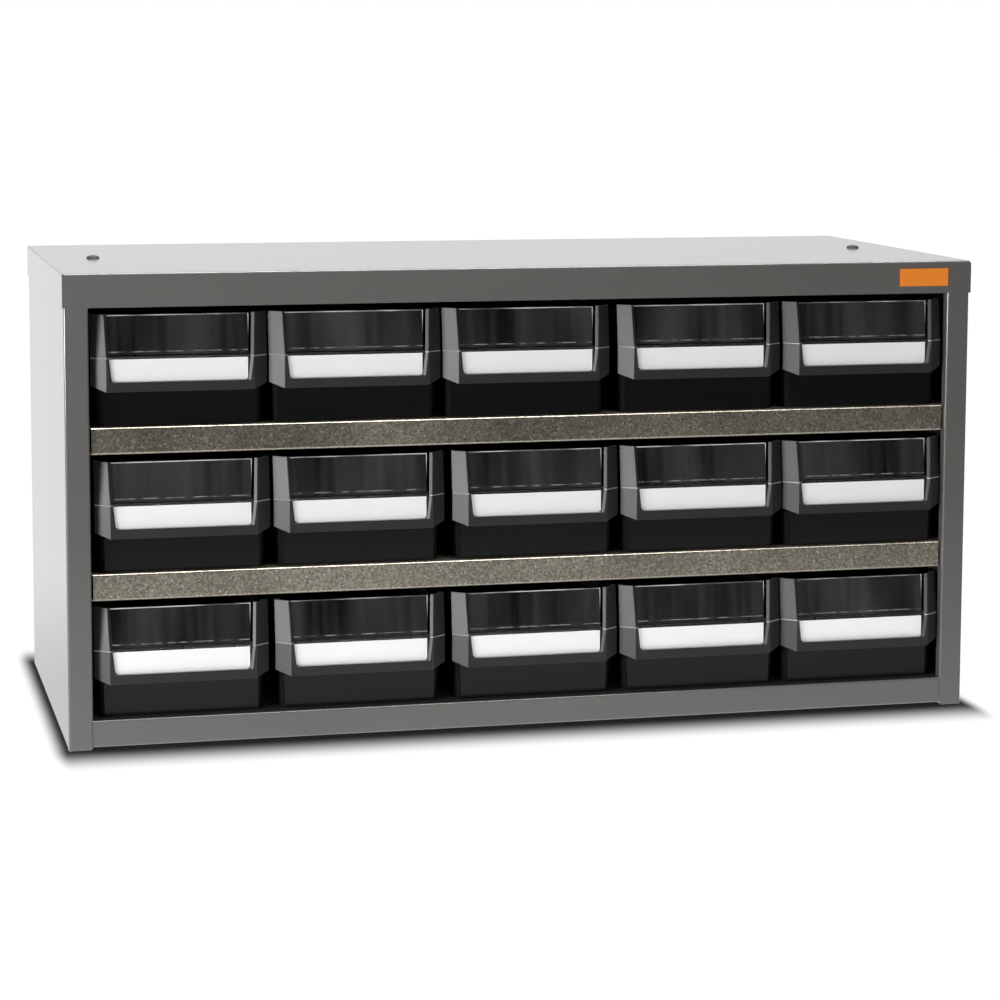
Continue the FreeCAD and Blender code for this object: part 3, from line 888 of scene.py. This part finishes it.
print("shadow ends", SHADOW_REACH, "m in front")

# %% Table top
work = bmesh.new()
bmesh.ops.create_grid(work, x_segments=1, y_segments=1, size=TABLE_HALF)
table_mesh = bpy.data.meshes.new("table")
work.to_mesh(table_mesh)
work.free()
table = show("table", table_mesh)
table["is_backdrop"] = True
table_mesh.materials.append(build_table())
print("table", table.dimensions[:])

# %% [markdown]
# ### The room
# The World is plain white to the camera. To reflections it is white behind, a little less to the
# right, and dark in front. A soft patch straight above lights open bins from inside.

# %% World
AMBIENT = 0.07
ROOM_BEHIND = (-0.25, 0.35, 0.03, 0.92)  # along Y: from, to, level there, level here
ROOM_RIGHT = (-0.1, 0.6, 1.0, 0.90)
ROOM_ABOVE = (0.72, 0.95, 0.0, 0.90)
PATCH_SHARE = 0.30  # how much of the patch above reaches matt surfaces
world = bpy.data.worlds.new("studio")
bpy.context.scene.world = world
world.use_nodes = True
tree = world.node_tree
path = tree.nodes.new("ShaderNodeLightPath").outputs
place = separate(tree, tree.nodes.new("ShaderNodeTexCoord").outputs["Generated"])
behind = smooth_range(tree, place["Y"], *ROOM_BEHIND)
dimmed = smooth_range(tree, place["X"], *ROOM_RIGHT)
above = smooth_range(tree, place["Z"], *ROOM_ABOVE)
room = math_node(tree, "MAXIMUM", math_node(tree, "MULTIPLY", behind, dimmed), above)
soft = math_node(tree, "MULTIPLY_ADD", above, PATCH_SHARE, AMBIENT)
clear_ray = math_node(tree, "MAXIMUM", path["Is Glossy Ray"], path["Is Transmission Ray"])
level = pick(tree, clear_ray, soft, room)
level = pick(tree, path["Is Camera Ray"], level, 1.0)
sky = tree.nodes["Background"]
sky.inputs["Color"].default_value = (1, 1, 1, 1)
tree.links.new(level, sky.inputs["Strength"])
print("ambient level", AMBIENT)

# %% [markdown]
# ### Lamps
# The key light hangs above the front. The strip high in front and the second lamp on the left only
# show in gloss, where they draw bright lines on bent edges and slanted sides. The low fill in
# front only reaches matt surfaces.

# %% Lamps
COOL, WARM = (0.94, 0.97, 1.0), (1.0, 0.955, 0.90)


def soft_lamp(name, place, target, size, power, color=(1, 1, 1), lights="all"):
    """A rectangular soft light aimed at a point."""
    data = bpy.data.lights.new(name, "AREA")
    data.shape = "RECTANGLE"
    data.size, data.size_y = size
    data.energy = power
    data.color = color
    lamp = show(name, data)
    lamp.location = place
    lamp.rotation_euler = (Vector(target) - Vector(place)).to_track_quat("-Z", "Y").to_euler()
    lamp.visible_camera = False
    lamp.visible_glossy = lights != "matt"
    lamp.visible_diffuse = lights != "gloss"


soft_lamp(
    "key_above",
    place=(0.0, -0.070, 1.5),
    target=(0, -0.070, 0),
    size=(1.8, 0.080),
    power=23.5,
)
soft_lamp(
    "edge_strip",
    place=(-0.2, -0.62, 2.2),
    target=(0, -0.2, 0.2),
    size=(2.4, 0.30),
    power=56,
    lights="gloss",
)
soft_lamp(
    "side_left",
    place=(-2.7, -1.7, 0.22),
    target=(0, -0.2, 0.22),
    size=(1.1, 0.4),
    power=68,
    color=COOL,
)
soft_lamp(
    "bevel_light",
    place=(-2.7, -1.7, 0.45),
    target=(0, -0.2, 0.25),
    size=(1.1, 0.7),
    power=20,
    color=COOL,
    lights="gloss",
)
soft_lamp(
    "front_fill",
    place=(0.3, -3.1, 0.25),
    target=(0, -0.2, 0.22),
    size=(1.6, 0.4),
    power=27,
    color=WARM,
    lights="matt",
)
print("lamps", len(bpy.data.lights))

# %% [markdown]
# ## The camera
# The photograph's edges fix the camera: it stands to the left and a little above, far away, with
# a long lens. A small vertical shift keeps the upright edges nearly parallel.

# %% Camera
CAMERA_PLACE = (-0.6840, -2.8209, 0.6515)
TURN_RIGHT, TILT_DOWN, ROLL = math.radians(13.618), math.radians(6.443), math.radians(0.178)
SENSOR_WIDTH = 36.0
FOCAL_SHARE = 2.8304  # focal length in image widths
data = bpy.data.cameras.new("camera")
data.sensor_fit = "HORIZONTAL"
data.sensor_width = SENSOR_WIDTH
data.lens = SENSOR_WIDTH * FOCAL_SHARE
data.shift_x = 0.016
data.shift_y = -0.125
camera = show("camera", data)
turn = Matrix.Rotation(-TURN_RIGHT, 4, "Z") @ Matrix.Rotation(math.pi / 2 - TILT_DOWN, 4, "X")
camera.matrix_world = Matrix.Translation(CAMERA_PLACE) @ turn @ Matrix.Rotation(ROLL, 4, "Z")
bpy.context.scene.camera = camera
print("lens", round(data.lens, 1), "mm")

# %% [markdown]
# ## Colour and size
# The Standard view shows each colour about as it is written, which suits a part that will stand
# in other scenes too. The sizes of the CAD and of what is shown are printed.

# %% Keep colours as written, and print the size of what is shown
bpy.context.scene.view_settings.view_transform = "Standard"
low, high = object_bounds()
print("visual box", [round(v, 4) for v in (*low, *high)])
